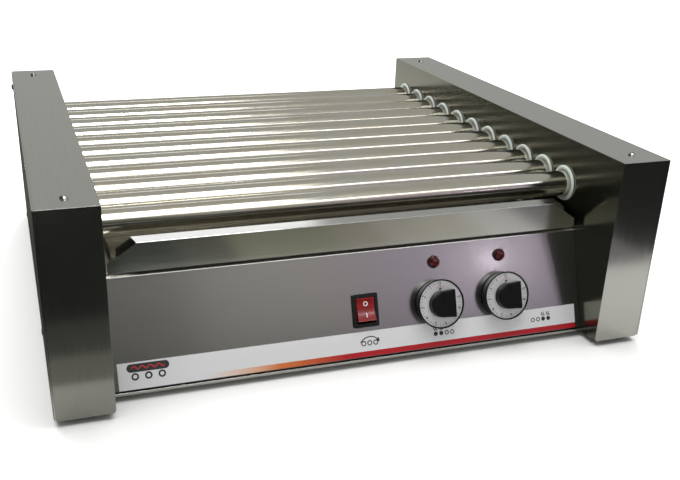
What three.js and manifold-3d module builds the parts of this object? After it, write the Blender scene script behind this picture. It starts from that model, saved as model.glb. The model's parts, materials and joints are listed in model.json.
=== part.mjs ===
// Hot dog roller grill. Millimetres, +X along the rollers, -Y to the front, +Z up.
// The origin is on the counter, under the middle of the body.
import * as THREE from 'three';
import Module from 'manifold-3d';
import { mergeVertices } from 'three/addons/utils/BufferGeometryUtils.js';

const wasm = await Module();
wasm.setup();

// ---- driving dimensions ----
const SHEET = 1.2;                 // stainless sheet
const GAP = 0.3;                   // assembly gap between neighbouring pieces
const HALF_W = 292;                // half of the overall width
const HALF_D = 272;                // half of the overall depth
const FOOT_H = 6;                  // what the feet lift the body by
const TOP_Z = 194;                 // top of the side towers
const TOWER_W = 51.8;              // width of one side tower
const INNER_X = HALF_W - TOWER_W;  // face of a tower towards the rollers
const CORNER_R = 3.5;              // rounded lower corners of the tower fronts

const CHAIN_PITCH = 6.35;
const ROLLERS = 11;
const ROLLER_PITCH = 6.5 * CHAIN_PITCH;
const ROLLER_Y0 = -181;            // axis of the front roller
const ROLLER_Z = 147.2;
const TUBE_R = 13;
const TUBE_WALL = 1.2;
const TUBE_SIDES = 32;
const RUN = 0.1;                   // running clearance of a faceted shaft
const BUSH_SIDES = 24;
const BUSH_R = 18.2;               // flange of a roller bushing
const BUSH_FLANGE = 2;             // how far the flange stands off the tower
const BUSH_HUB_R = 15.4;
const BUSH_HUB = 6;                // hub length inside the tower
const BUSH_BORE = (TUBE_R + RUN / 2) / Math.cos(Math.PI / BUSH_SIDES);

const SPROCKET_X = 253.5;          // middle plane of the chain
const SPROCKET_T = 3;
const ROLLER_TEETH = 16;
const MOTOR_TEETH = 10;
const MOTOR_Y = 24;
const MOTOR_Z = 62;

const PANEL_FOOT = [-246, FOOT_H]; // y, z of the foot of the sloped panel
const PANEL_HEAD = [-209.4, 106.6];
const PANEL_HALF = INNER_X - GAP;
const ROCKER_AT = [3, 49.4];       // across and up the sloped panel
const ROCKER_TILT = 9;             // degrees either side of level
const ROCKER_PIVOT = -3;
const KNOB_X = [78.7, 151.2];
const KNOB_S = 47.6;
const LAMP_X = [78.2, 150.3];
const LAMP_S = 88.4;

const DECK_Z = PANEL_HEAD[1] + GAP;
const REAR_Y = 245;
const FEET = [[-258, -226], [258, -226], [-258, 240], [258, 240]];
const GLAND = { x: -180, z: 36, hole: 8 };
const SHAFT_R = 3;                 // shaft of a thermostat, moulded onto its knob
const LAMP_HOLE_R = 5;
const SHAFT_HOLE_R = 4.4;
const ROCKER_HOLE = [11.5, 14.4];  // half width and half height
const TRAY = { half: 228, front: -207.6, back: 250, floor: DECK_Z + 1.5, rim: 121, t: 1 };
const APRON = { y: -216, low: 111.6, shoulder: 120.5, top: 138.4, half: 234, topHalf: 208.5 };
const LIP = { deep: 9.4, rise: 2.4, backHalf: 212 };   // the apron's top edge, folded back
const RISER = { foot: 226, shoulder: 131.3, shoulderHalf: 225 };   // the front wall above its rim

// ---- geometry helpers ----
const cylZ = (r, h, n = 24) => new THREE.CylinderGeometry(r, r, h, n).rotateX(Math.PI / 2);
const cylX = (r, x0, x1, n = 24) =>
  new THREE.CylinderGeometry(r, r, x1 - x0, n).rotateZ(-Math.PI / 2).translate((x0 + x1) / 2, 0, 0);

function box(x0, x1, y0, y1, z0, z1) {
  return new THREE.BoxGeometry(x1 - x0, y1 - y0, z1 - z0)
    .translate((x0 + x1) / 2, (y0 + y1) / 2, (z0 + z1) / 2);
}

function solid(geometry) {
  const g = geometry.index ? geometry.clone() : geometry;
  g.deleteAttribute('normal');
  g.deleteAttribute('uv');
  const m = mergeVertices(g, 1e-4);
  return new wasm.Manifold(new wasm.Mesh({
    numProp: 3,
    vertProperties: new Float32Array(m.attributes.position.array),
    triVerts: new Uint32Array(m.index.array),
  }));
}

function toGeometry(manifold) {
  const mesh = manifold.getMesh();
  const g = new THREE.BufferGeometry();
  g.setAttribute('position', new THREE.BufferAttribute(mesh.vertProperties, 3));
  g.setIndex(new THREE.BufferAttribute(mesh.triVerts, 1));
  return g;
}

function combine(add, cut = []) {
  let m = solid(add[0]);
  for (const g of add.slice(1)) m = m.add(solid(g));
  for (const g of cut) m = m.subtract(solid(g));
  return toGeometry(m);
}

function polygon(points) {
  return new THREE.Shape(points.map(([a, b]) => new THREE.Vector2(a, b)));
}

function extrude(shape, depth, curveSegments = 6) {
  return new THREE.ExtrudeGeometry(shape, { depth, bevelEnabled: false, curveSegments });
}

// A shape drawn in Y, Z and extruded along X from x0 to x1.
function extrudeX(points, x0, x1) {
  const m = new THREE.Matrix4().makeBasis(
    new THREE.Vector3(0, 1, 0), new THREE.Vector3(0, 0, 1), new THREE.Vector3(1, 0, 0));
  return extrude(polygon(points), x1 - x0).applyMatrix4(m).translate(x0, 0, 0);
}

function roundedRect(x0, x1, y0, y1, r) {
  const s = new THREE.Shape();
  s.moveTo(x0 + r, y0);
  s.lineTo(x1 - r, y0).absarc(x1 - r, y0 + r, r, -Math.PI / 2, 0, false);
  s.lineTo(x1, y1 - r).absarc(x1 - r, y1 - r, r, 0, Math.PI / 2, false);
  s.lineTo(x0 + r, y1).absarc(x0 + r, y1 - r, r, Math.PI / 2, Math.PI, false);
  s.lineTo(x0, y0 + r).absarc(x0 + r, y0 + r, r, Math.PI, 1.5 * Math.PI, false);
  return s;
}

// A lathe about +Z. The profile is [radius, z], from the axis round and back to the axis.
function latheZ(profile, n = 32) {
  return new THREE.LatheGeometry(profile.map(([r, z]) => new THREE.Vector2(r, z)), n)
    .rotateX(Math.PI / 2);
}

// A hollow lathe about +X: the profile is a closed loop of [radius, x].
function ringX(loop, n) {
  const pts = [...loop, loop[0]].map(([r, x]) => new THREE.Vector2(r, x));
  return new THREE.LatheGeometry(pts, n).rotateZ(-Math.PI / 2);
}

const rollerY = (i) => ROLLER_Y0 + i * ROLLER_PITCH;
const pitchRadius = (teeth) => CHAIN_PITCH / 2 / Math.sin(Math.PI / teeth);

// ---- the sloped panel's own frame: x across, s up the slope, n out of it ----
const slopeRun = PANEL_HEAD[0] - PANEL_FOOT[0];
const slopeRise = PANEL_HEAD[1] - PANEL_FOOT[1];
const SLOPE_LEN = Math.hypot(slopeRun, slopeRise);
const UP = new THREE.Vector3(0, slopeRun / SLOPE_LEN, slopeRise / SLOPE_LEN);
const OUT = new THREE.Vector3(0, -slopeRise / SLOPE_LEN, slopeRun / SLOPE_LEN);

function onPanel(geometry, x = 0, s = 0) {
  const m = new THREE.Matrix4().makeBasis(new THREE.Vector3(1, 0, 0), UP, OUT);
  m.setPosition(x, PANEL_FOOT[0] + UP.y * s, PANEL_FOOT[1] + UP.z * s);
  return geometry.applyMatrix4(m);
}

// ---- rollers, their bushings and the drive ----
function sprocketOutline(teeth) {
  const rp = pitchRadius(teeth);
  const root = rp - 1.55;
  const tip = rp + 1.15;
  const pts = [];
  for (let i = 0; i < teeth; i++) {
    const a = (2 * Math.PI * i) / teeth;
    const step = (2 * Math.PI) / teeth;
    for (const [r, f] of [[root, -0.3], [tip, -0.1], [tip, 0.1], [root, 0.3]]) {
      pts.push([r * Math.cos(a + f * step), r * Math.sin(a + f * step)]);
    }
  }
  return pts;
}

function sprocket(teeth, phase) {
  return extrudeX(sprocketOutline(teeth), SPROCKET_X - SPROCKET_T / 2, SPROCKET_X + SPROCKET_T / 2)
    .rotateX(phase);
}

function roller(i) {
  const x0 = -INNER_X - BUSH_HUB - 3;
  const x1 = SPROCKET_X + 5;
  const phase = (i % 2) * (Math.PI / ROLLER_TEETH);
  return combine([cylX(TUBE_R, x0, x1, TUBE_SIDES), sprocket(ROLLER_TEETH, phase)],
    [cylX(TUBE_R - TUBE_WALL, x0 - 1, x1 + 1, TUBE_SIDES)])
    .translate(0, rollerY(i), ROLLER_Z);
}

// A white flanged bushing pressed into a tower's inner wall, the flange towards the rollers.
function bushing(i, side) {
  const face = INNER_X - GAP;
  const loop = [
    [BUSH_BORE, face - BUSH_FLANGE], [BUSH_R, face - BUSH_FLANGE], [BUSH_R, face],
    [BUSH_HUB_R, face], [BUSH_HUB_R, face + BUSH_HUB], [BUSH_BORE, face + BUSH_HUB],
  ];
  const g = ringX(loop, BUSH_SIDES);
  if (side < 0) g.rotateZ(Math.PI);
  return g.translate(0, rollerY(i), ROLLER_Z);
}

// The closed path of the chain, offset outward by d: over every roller sprocket, round the
// rear one, down to the motor and back up round the front one.
function chainLoop(d) {
  const rr = pitchRadius(ROLLER_TEETH) + d;
  const rm = pitchRadius(MOTOR_TEETH) + d;
  const wheels = [
    { y: rollerY(0), z: ROLLER_Z, r: rr },
    { y: MOTOR_Y, z: MOTOR_Z, r: rm },
    { y: rollerY(ROLLERS - 1), z: ROLLER_Z, r: rr },
  ];
  const pts = [];
  const normal = (a, b) => {
    const t = Math.atan2(b.z - a.z, b.y - a.y);
    return t - Math.PI / 2 + Math.asin((a.r - b.r) / Math.hypot(b.y - a.y, b.z - a.z));
  };
  wheels.forEach((w, k) => {
    const before = wheels[(k + 2) % 3];
    const after = wheels[(k + 1) % 3];
    const a0 = normal(before, w);
    let a1 = normal(w, after);
    while (a1 < a0) a1 += 2 * Math.PI;
    const steps = Math.max(4, Math.ceil((a1 - a0) / 0.26));
    for (let j = 0; j <= steps; j++) {
      const a = a0 + ((a1 - a0) * j) / steps;
      pts.push([w.y + w.r * Math.cos(a), w.z + w.r * Math.sin(a)]);
    }
  });
  return pts;
}

function chainBand(inner, outer, x0, x1) {
  return [extrudeX(chainLoop(outer), x0, x1), extrudeX(chainLoop(inner), x0 - 1, x1 + 1)];
}

// The chain is one channel-shaped loop. The sprocket teeth run in its hollow.
function chain() {
  const half = 3.1;
  const slot = SPROCKET_T / 2 + 0.5;
  const [body, hole] = chainBand(-2.4, 2.8, SPROCKET_X - half, SPROCKET_X + half);
  const groove = combine([extrudeX(chainLoop(1.7), SPROCKET_X - slot, SPROCKET_X + slot)]);
  return combine([body], [hole, groove]);
}

function motorSprocket() {
  return combine([sprocket(MOTOR_TEETH, Math.PI / MOTOR_TEETH), cylX(4, 247, 266, 24)])
    .translate(0, MOTOR_Y, MOTOR_Z);
}

// Gearbox and can of the drive motor, held off the tower's inner wall by four posts.
function gearMotor() {
  const posts = [[-34, -26], [34, -26], [-34, 27], [34, 27]].map(([y, z]) =>
    cylX(4.5, INNER_X + SHEET + GAP, 262, 16).translate(0, y, z));
  return combine(
    [box(260, 276, -40, 40, -32, 33), cylX(27, 275, 289.5, 32), ...posts],
    [cylX(4 + RUN + 0.05, 255, 268, 24)]).translate(0, MOTOR_Y, MOTOR_Z);
}

// ---- towers ----
// What a rounded lower corner leaves away, between y0 and y1. dir points into the sheet.
function cornerCut(x, z, dir, y0, y1) {
  const s = new THREE.Shape();
  s.moveTo(x - dir * 2, z - 2);
  s.lineTo(x + dir * CORNER_R, z - 2);
  for (let k = 0; k <= 6; k++) {
    const a = (Math.PI / 2) * (k / 6);
    s.lineTo(x + dir * CORNER_R * (1 - Math.sin(a)), z + CORNER_R * (1 - Math.cos(a)));
  }
  s.lineTo(x - dir * 2, z + CORNER_R);
  return extrude(s, y1 - y0).rotateX(Math.PI / 2).translate(0, y1, 0);
}

// The part for the left side is the right one reflected, its triangles wound the other way.
function flipped(g) {
  const index = g.index.array;
  for (let i = 0; i < index.length; i += 3) [index[i], index[i + 1]] = [index[i + 1], index[i]];
  return g;
}

function mirrored(g, side) {
  return side > 0 ? g : combine([flipped(g.scale(-1, 1, 1))]);
}

// A bent sheet tower: inner wall, top, front and back, open below and to the outside.
// Its inner wall ends above the base pan.
function housing(side) {
  const x0 = INNER_X;
  const x1 = HALF_W - SHEET - GAP;
  const shell = box(x0, x1, -HALF_D, HALF_D, FOOT_H, TOP_Z);
  const cuts = [
    box(x0 + SHEET, x1 + 5, -HALF_D + SHEET, HALF_D - SHEET, FOOT_H - 5, TOP_Z - SHEET),
    box(x0 - 5, x0 + SHEET + 1, PANEL_FOOT[0] - GAP, HALF_D - SHEET, 0, FOOT_H + SHEET + GAP),
    cornerCut(x0, FOOT_H, 1, -HALF_D - 2, -HALF_D + 9),
    cornerCut(x1, FOOT_H, -1, -HALF_D - 2, -HALF_D + 9),
  ];
  for (let i = 0; i < ROLLERS; i++) {
    cuts.push(cylX(BUSH_HUB_R + 0.5, x0 - 2, x0 + 4, 20).translate(0, rollerY(i), ROLLER_Z));
  }
  return mirrored(combine([shell], cuts), side);
}

function sideCover(side) {
  const x1 = HALF_W;
  const plate = box(x1 - SHEET, x1, -HALF_D, HALF_D, FOOT_H, TOP_Z);
  const lip = box(x1 - 12, x1 - SHEET / 2, -HALF_D + SHEET + GAP, HALF_D - SHEET - GAP,
    TOP_Z - 2 * SHEET - GAP, TOP_Z - SHEET - GAP);
  const cuts = [cornerCut(x1, FOOT_H, -1, -HALF_D - 2, -HALF_D + 9)];
  return mirrored(combine([plate, lip], cuts), side);
}

// ---- base, deck and rear panel ----
function basePan() {
  const x = HALF_W - SHEET - 2 * GAP;
  const cuts = FEET.map(([fx, fy]) => cylZ(3.4, 8, 16).translate(fx, fy, FOOT_H));
  for (let i = -3; i <= 3; i++) cuts.push(box(i * 22 - 3, i * 22 + 3, 40, 130, 0, 12));
  return combine([
    box(-x, x, PANEL_FOOT[0], HALF_D - SHEET - GAP, FOOT_H, FOOT_H + SHEET),
    box(-PANEL_HALF, PANEL_HALF, PANEL_FOOT[0], PANEL_FOOT[0] + 1.5, FOOT_H, FOOT_H + 2.6),
  ], cuts);
}

// A rubber foot: a peg through the pan, a recess for its screw below.
function foot([x, y]) {
  return latheZ([[0, 1.8], [4, 1.8], [4, 0], [11.5, 0], [10.5, FOOT_H - GAP],
    [3, FOOT_H - GAP], [3, FOOT_H + 4], [0, FOOT_H + 4]], 16).translate(x, y, 0);
}

function frontPanel() {
  const sheet = roundedRect(-PANEL_HALF, PANEL_HALF, 4.1, SLOPE_LEN, 0.4);
  const [rx, rs] = ROCKER_AT;
  const [hw, hh] = ROCKER_HOLE;
  sheet.holes.push(rectanglePath(rx - hw, rx + hw, rs - hh, rs + hh));
  for (const x of KNOB_X) {
    sheet.holes.push(new THREE.Path().absarc(x, KNOB_S, SHAFT_HOLE_R, 0, 2 * Math.PI, true));
  }
  for (const x of LAMP_X) {
    sheet.holes.push(new THREE.Path().absarc(x, LAMP_S, LAMP_HOLE_R, 0, 2 * Math.PI, true));
  }
  const face = onPanel(extrude(sheet, SHEET, 10).translate(0, 0, -SHEET));
  const flange = box(-PANEL_HALF, PANEL_HALF, PANEL_HEAD[0] + 0.2, PANEL_HEAD[0] + 13,
    PANEL_HEAD[1] - SHEET, PANEL_HEAD[1]);
  return combine([face, flange]);
}

function rectanglePath(x0, x1, y0, y1) {
  return new THREE.Path([[x0, y0], [x0, y1], [x1, y1], [x1, y0]].map(([a, b]) =>
    new THREE.Vector2(a, b)));
}

function deckPlate() {
  return box(-PANEL_HALF, PANEL_HALF, PANEL_HEAD[0] + 3, REAR_Y, DECK_Z, DECK_Z + SHEET);
}

function rearPanel() {
  const y = REAR_Y - SHEET;
  const z0 = FOOT_H + SHEET + GAP;
  const cuts = [cylZ(GLAND.hole, 12, 24).rotateX(Math.PI / 2).translate(GLAND.x, REAR_Y, GLAND.z)];
  for (let i = 0; i < 6; i++) cuts.push(box(60, 150, y - 3, y + 6, 30 + i * 10, 34 + i * 10));
  return combine([
    box(-PANEL_HALF, PANEL_HALF, y, REAR_Y, z0, DECK_Z - GAP),
    box(-PANEL_HALF, PANEL_HALF, y - 12, REAR_Y - 0.4, DECK_Z - GAP - SHEET, DECK_Z - GAP),
  ], cuts);
}

// The cable inlet, a nut either side of the rear panel, open for a cable.
function cordGland() {
  const g = [
    [4.6, -14], [7, -14], [7, -1.2 - GAP - 4], [11, -1.2 - GAP - 4], [11, -1.2 - GAP],
    [GLAND.hole - GAP, -1.2 - GAP], [GLAND.hole - GAP, GAP], [12, GAP], [12, 6], [9.5, 7],
    [8.5, 18], [6.5, 20], [4.6, 20],
  ];
  return ringX(g, 16).rotateZ(Math.PI / 2).translate(GLAND.x, REAR_Y, GLAND.z);
}

function terminalBlock() {
  const cuts = [];
  for (let i = 0; i < 4; i++) cuts.push(box(-27 + i * 15, -18 + i * 15, -30, 30, 12, 22));
  return combine([box(-32, 32, -12, 12, 0, 16), box(-38, 38, -7, 7, 0, 3)], cuts)
    .translate(-120, 160, FOOT_H + SHEET + GAP);
}

// ---- drip tray ----
// Floor, four walls and a folded front flap that serves as the handle. The flap's lip slopes
// up and back to the front wall.
function dripTray() {
  const { half, front, back, floor, rim, t } = TRAY;
  const a = APRON;
  const lean = Math.atan2(LIP.rise, LIP.deep);
  const run = Math.hypot(LIP.rise, LIP.deep);
  const lip = extrude(polygon([[-a.topHalf, 0], [a.topHalf, 0], [LIP.backHalf, run],
    [-LIP.backHalf, run]]), t).rotateX(lean)
    .translate(0, a.y + t * Math.sin(lean), a.top - t * Math.cos(lean));
  const flap = polygon([[-a.half, a.low], [a.half, a.low], [a.half, a.shoulder],
    [a.topHalf, a.top], [-a.topHalf, a.top], [-a.half, a.shoulder]]);
  const riserTop = a.top + LIP.rise - t / 2;
  const riser = polygon([[-RISER.foot, rim - t], [RISER.foot, rim - t],
    [RISER.shoulderHalf, RISER.shoulder], [LIP.backHalf, riserTop], [-LIP.backHalf, riserTop],
    [-RISER.shoulderHalf, RISER.shoulder]]);
  return combine([
    box(-half, half, front, back, floor, floor + t),
    box(-half, -half + t, front, back, floor, rim),
    box(half - t, half, front, back, floor, rim),
    box(-half, half, back - t, back, floor, rim),
    box(-half, half, front, front + t, floor, rim),
    extrude(riser, t).rotateX(Math.PI / 2).translate(0, front + t, 0),
    lip,
    extrude(flap, t).rotateX(Math.PI / 2).translate(0, a.y + t, 0),
  ]);
}

// ---- controls ----
function labelStrip() {
  return onPanel(extrude(roundedRect(-234, 234, 4.6, 29, 0.6), 0.3, 2).translate(0, 0, GAP));
}

function rockerFrame() {
  const g = combine([
    extrude(roundedRect(-13, 13, -16.2, 16.2, 1.2), 2).translate(0, 0, GAP),
    box(-11.1, 11.1, -14, 14, -20, 1),
    box(-6, -2, -10, -9, -26, -19), box(-6, -2, -0.5, 0.5, -26, -19),
    box(-6, -2, 9, 10, -26, -19),
  ], [box(-9.6, 9.6, -12.5, 12.5, -9, 5)]);
  return onPanel(g, ...ROCKER_AT);
}

function rocker() {
  const rise = 12 * Math.tan((ROCKER_TILT * Math.PI) / 180);
  const outline = [[-11.3, -2.9], [11.3, -2.9], [11.3, 5.6 + rise * 0.94], [0, 5.6],
    [-11.3, 5.6 + rise * 0.94]];
  const g = extrudeX(outline, -9.1, 9.1).rotateX((-ROCKER_TILT * Math.PI) / 180)
    .translate(0, 0, ROCKER_PIVOT);
  return onPanel(g, ...ROCKER_AT);
}

// Skirted knob: recessed dial face, D-shaped grip, and the thermostat's shaft in one piece.
function knob(x) {
  const cup = latheZ([[0, 1], [22.9, 1], [24.4, 10.4], [24, 11.4], [23.1, 11.4], [22.9, 10.2],
    [0, 10.2]], 40);
  const d = new THREE.Shape();
  d.moveTo(0, -12.7).lineTo(13, -13.7).lineTo(13, 13.7).lineTo(0, 12.7);
  d.absarc(0, 0, 12.7, Math.PI / 2, 1.5 * Math.PI, false);
  const grip = extrude(d, 9.8, 12).translate(0, 0, 8);
  return onPanel(combine([cup, grip, cylZ(SHAFT_R, 16, 24).translate(0, 0, -6)]), x, KNOB_S);
}

function thermostat(x) {
  const g = combine([
    latheZ([[0, -30], [17, -30], [17, -11], [0, -11]], 24),
    cylZ(4, 10, 16).translate(0, 0, -6.5),
    box(-14, 14, -22, 22, -11.5, -10.3),
  ], [cylZ(SHAFT_R + RUN, 16, 24).translate(0, 0, -7)]);
  return onPanel(g, x, KNOB_S);
}

function lamp(x) {
  return onPanel(latheZ([[0, -14], [4.6, -14], [4.6, GAP], [6.3, GAP], [6.3, 2.2], [5.4, 4.2],
    [3.4, 5.9], [0, 6.6]], 16), x, LAMP_S);
}

// ---- assembly ----
const MATERIALS = {
  stainless: { color: 0xb9b9bd, metalness: 1, roughness: 0.3 },
  polished: { color: 0xd2d2d0, metalness: 1, roughness: 0.12 },
  steel: { color: 0x8a8a8a, metalness: 1, roughness: 0.4 },
  white_plastic: { color: 0xe9e9e4, metalness: 0, roughness: 0.5 },
  black_plastic: { color: 0x141416, metalness: 0, roughness: 0.45 },
  red_plastic: { color: 0xb01418, metalness: 0, roughness: 0.2 },
  label: { color: 0xf4f4f4, metalness: 0, roughness: 0.35 },
  rubber: { color: 0x1a1a1a, metalness: 0, roughness: 0.8 },
  motor_paint: { color: 0x3c4046, metalness: 0.2, roughness: 0.5 },
  ceramic: { color: 0xd8d2c4, metalness: 0, roughness: 0.6 },
};

const assembly = new THREE.Group();
assembly.name = 'roller_grill';

function add(name, slot, geometry) {
  const mesh = new THREE.Mesh(geometry, new THREE.MeshStandardMaterial(MATERIALS[slot]));
  mesh.material.name = slot;
  mesh.name = name;
  assembly.add(mesh);
}

for (let i = 0; i < ROLLERS; i++) {
  const n = String(i + 1).padStart(2, '0');
  add(`roller_${n}`, 'polished', roller(i));
  add(`bushing_left_${n}`, 'white_plastic', bushing(i, -1));
  add(`bushing_right_${n}`, 'white_plastic', bushing(i, 1));
}
for (const [word, side] of [['left', -1], ['right', 1]]) {
  add(`tower_${word}`, 'stainless', housing(side));
  add(`side_cover_${word}`, 'stainless', sideCover(side));
}
add('base_pan', 'stainless', basePan());
add('deck_plate', 'stainless', deckPlate());
add('front_panel', 'stainless', frontPanel());
add('rear_panel', 'stainless', rearPanel());
add('drip_tray', 'stainless', dripTray());
add('label_strip', 'label', labelStrip());
add('rocker_frame', 'black_plastic', rockerFrame());
add('rocker', 'red_plastic', rocker());
KNOB_X.forEach((x, k) => {
  add(`knob_${k + 1}`, 'black_plastic', knob(x));
  add(`thermostat_${k + 1}`, 'ceramic', thermostat(x));
});
LAMP_X.forEach((x, k) => add(`lamp_${k + 1}`, 'red_plastic', lamp(x)));
add('gear_motor', 'motor_paint', gearMotor());
add('motor_sprocket', 'steel', motorSprocket());
add('drive_chain', 'steel', chain());
add('terminal_block', 'black_plastic', terminalBlock());
add('cord_gland', 'black_plastic', cordGland());
FEET.forEach((at, k) => add(`foot_${k + 1}`, 'rubber', foot(at)));

export default assembly;
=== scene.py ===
"""Hot dog roller grill. The visible pieces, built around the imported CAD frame.

Shapes are drawn in millimetres, in the CAD's own axes, and scaled to metres as each piece is made:
+X runs along the rollers to the control side, +Y to the back and +Z up.
"""

import json
from math import asin, atan2, cos, hypot, pi, radians, sin, sqrt, tan

import bmesh
import bpy
from mathutils import Matrix, Vector


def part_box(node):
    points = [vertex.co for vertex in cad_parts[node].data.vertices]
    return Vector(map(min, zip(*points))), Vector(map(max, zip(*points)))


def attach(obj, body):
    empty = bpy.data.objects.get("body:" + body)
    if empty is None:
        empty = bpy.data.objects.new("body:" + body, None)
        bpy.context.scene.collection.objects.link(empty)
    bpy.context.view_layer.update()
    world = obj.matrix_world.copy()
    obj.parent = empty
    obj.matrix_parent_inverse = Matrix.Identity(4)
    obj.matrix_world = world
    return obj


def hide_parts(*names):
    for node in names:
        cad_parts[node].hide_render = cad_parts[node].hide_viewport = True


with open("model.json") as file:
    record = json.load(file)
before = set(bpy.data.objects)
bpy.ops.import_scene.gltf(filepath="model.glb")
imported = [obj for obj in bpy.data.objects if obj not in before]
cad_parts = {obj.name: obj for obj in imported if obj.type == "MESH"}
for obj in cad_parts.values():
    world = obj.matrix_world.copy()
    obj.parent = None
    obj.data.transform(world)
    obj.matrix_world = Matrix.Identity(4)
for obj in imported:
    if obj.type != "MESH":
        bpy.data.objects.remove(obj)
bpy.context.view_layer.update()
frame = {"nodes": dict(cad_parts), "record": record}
scene = bpy.context.scene
MM = 0.001


# ---- measures taken from the frame ----
def node_box(node):
    """(lowest corner, highest corner) of a CAD node, in millimetres."""
    lo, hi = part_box(node)
    return Vector(lo) / MM, Vector(hi) / MM


def node_middle(node):
    lo, hi = node_box(node)
    return (lo + hi) / 2


JOINTS = {joint["name"]: joint for joint in frame["record"]["behaviour"]["joints"]}


def joint_point(name):
    return Vector(JOINTS[name]["pos_m"]) / MM


ROLLER_COUNT = 11
ROLLER_NAMES = [f"{k + 1:02d}" for k in range(ROLLER_COUNT)]
ROLLER_AXES = [joint_point(f"roller_{name}_spin") for name in ROLLER_NAMES]
MOTOR_AXIS = joint_point("motor_spin")
TUBE_R = 13.0
TUBE_WALL = 1.2
SHEET = 1.2
GAP = 0.3
CHAIN_PITCH = 6.35
ROLLER_TEETH = 16
MOTOR_TEETH = 10

HOUSING_LO, HOUSING_HI = node_box("tower_right")
INNER_X = HOUSING_LO.x
OUTER_X = node_box("side_cover_right")[1].x
TOP_Z = HOUSING_HI.z
PANEL_HALF = node_box("front_panel")[1].x
REAR_Y = node_box("rear_panel")[1].y

# The sloped panel's own axes: x across, s up the slope, n out of it.
KNOB_S = 47.6
KNOB_LIFT = 6.0
OUT = -Vector(JOINTS["knob_1_turn"]["axis"]).normalized()
ACROSS = Vector((1, 0, 0))
UP = OUT.cross(ACROSS)
KNOB_X = [joint_point(f"knob_{k}_turn").x for k in (1, 2)]
PANEL_FOOT = joint_point("knob_1_turn") - OUT * KNOB_LIFT - UP * KNOB_S
PANEL_FOOT.x = 0
PANEL_LENGTH = 107.05
ROCKER_X = joint_point("rocker_tilt").x
ROCKER_S = 49.4
ROCKER_LIFT = -3.0
ROCKER_TILT = radians(9)


def on_panel(x, s, n=0.0):
    """Matrix that puts a shape drawn in (x, s, n) at this place of the sloped panel."""
    axes = Matrix((ACROSS, UP, OUT)).transposed().to_4x4()
    at = PANEL_FOOT + ACROSS * x + UP * s + OUT * n
    return Matrix.Translation(at) @ axes


ALONG_X = Matrix(((0, 0, 1, 0), (1, 0, 0, 0), (0, 1, 0, 0), (0, 0, 0, 1)))  # drawn Z becomes X
ALONG_Y = Matrix(((1, 0, 0, 0), (0, 0, 1, 0), (0, -1, 0, 0), (0, 0, 0, 1)))  # drawn Z becomes Y


# ---- shapes ----
def loft(rings, cyclic=False, caps=True):
    """A skin over closed rings of points, with the first and last ring capped."""
    bm = bmesh.new()
    rows = [[bm.verts.new(p) for p in ring] for ring in rings]
    pairs = list(zip(rows, rows[1:]))
    if cyclic:
        pairs.append((rows[-1], rows[0]))
    count = len(rows[0])
    for a, b in pairs:
        for i in range(count):
            j = (i + 1) % count
            bm.faces.new((a[i], a[j], b[j], b[i]))
    if caps and not cyclic:
        bm.faces.new(rows[0])
        bm.faces.new(rows[-1])
    bmesh.ops.remove_doubles(bm, verts=bm.verts, dist=1e-4)
    return bm


def prism(outline, z0, z1):
    return loft([[(x, y, z) for x, y in outline] for z in (z0, z1)])


def box(x0, x1, y0, y1, z0, z1):
    return prism([(x0, y0), (x1, y0), (x1, y1), (x0, y1)], z0, z1)


def circle(radius, count, x=0.0, y=0.0, start=0.0, sweep=2 * pi, both_ends=False):
    steps = count - 1 if both_ends else count
    angles = [start + sweep * k / steps for k in range(count)]
    return [(x + radius * cos(a), y + radius * sin(a)) for a in angles]


def lathe(profile, segments, closed=False):
    """A turned shape about Z. The profile is (radius, z) pairs."""
    rings = [[(x, y, z) for x, y in circle(max(r, 1e-5), segments)] for r, z in profile]
    ends_open = profile[0][0] > 0 and profile[-1][0] > 0
    return loft(rings, cyclic=closed, caps=ends_open)


def fillet(points, radius, closed=True, steps=5):
    """The outline with each corner rounded. radius is one number, or one for each corner."""
    count = len(points)
    radii = radius if isinstance(radius, (list, tuple)) else [radius] * count
    out = []
    for k, (point, r) in enumerate(zip(points, radii)):
        if r == 0 or (not closed and k in (0, count - 1)):
            out.append(tuple(point))
            continue
        p = Vector(point)
        a = (Vector(points[k - 1]) - p).normalized()
        b = (Vector(points[(k + 1) % count]) - p).normalized()
        half = a.angle(b) / 2
        centre = p + (a + b).normalized() * (r / sin(half))
        start = p + a * (r / tan(half)) - centre
        end = p + b * (r / tan(half)) - centre
        for j in range(steps + 1):
            out.append(tuple(centre + start.slerp(end, j / steps).normalized() * r))
    return out


def rounded_rect(x0, x1, y0, y1, radius, steps=5):
    return fillet([(x0, y0), (x1, y0), (x1, y1), (x0, y1)], radius, steps=steps)


def thicken(line, thickness):
    """The closed outline of a bent strip: an open line and its copy moved to the left."""
    pts = [Vector(p) for p in line]
    moved = []
    for k, p in enumerate(pts):
        into = (p - pts[k - 1]).normalized() if k else None
        out = (pts[k + 1] - p).normalized() if k < len(pts) - 1 else None
        a = into or out
        b = out or into
        left = Vector((-a.y - b.y, a.x + b.x)).normalized()
        moved.append(p + left * (thickness / max(0.3, left.dot(Vector((-a.y, a.x))))))
    return [tuple(p) for p in pts] + [tuple(p) for p in reversed(moved)]


def swept_sheet(line, x0, x1):
    """A bent sheet whose (y, z) line runs straight along X."""
    return placed(prism(thicken(line, SHEET), x0, x1), ALONG_X)


def ribbon(points, width, height):
    """A flat printed stroke along points, centred on them."""
    side = [Vector(p) for p in thicken(points, width)]
    shift = Vector(points[0]) - (side[0] + side[-1]) / 2
    return prism([tuple(p + shift) for p in side], 0, height)


def placed(bm, matrix):
    bm.transform(matrix)
    return bm


def moved(bm, x, y, z):
    return placed(bm, Matrix.Translation((x, y, z)))


def face_outward(bm):
    bmesh.ops.recalc_face_normals(bm, faces=bm.faces)


def new_object(name, data):
    obj = bpy.data.objects.new(name, data)
    scene.collection.objects.link(obj)
    return obj


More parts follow.
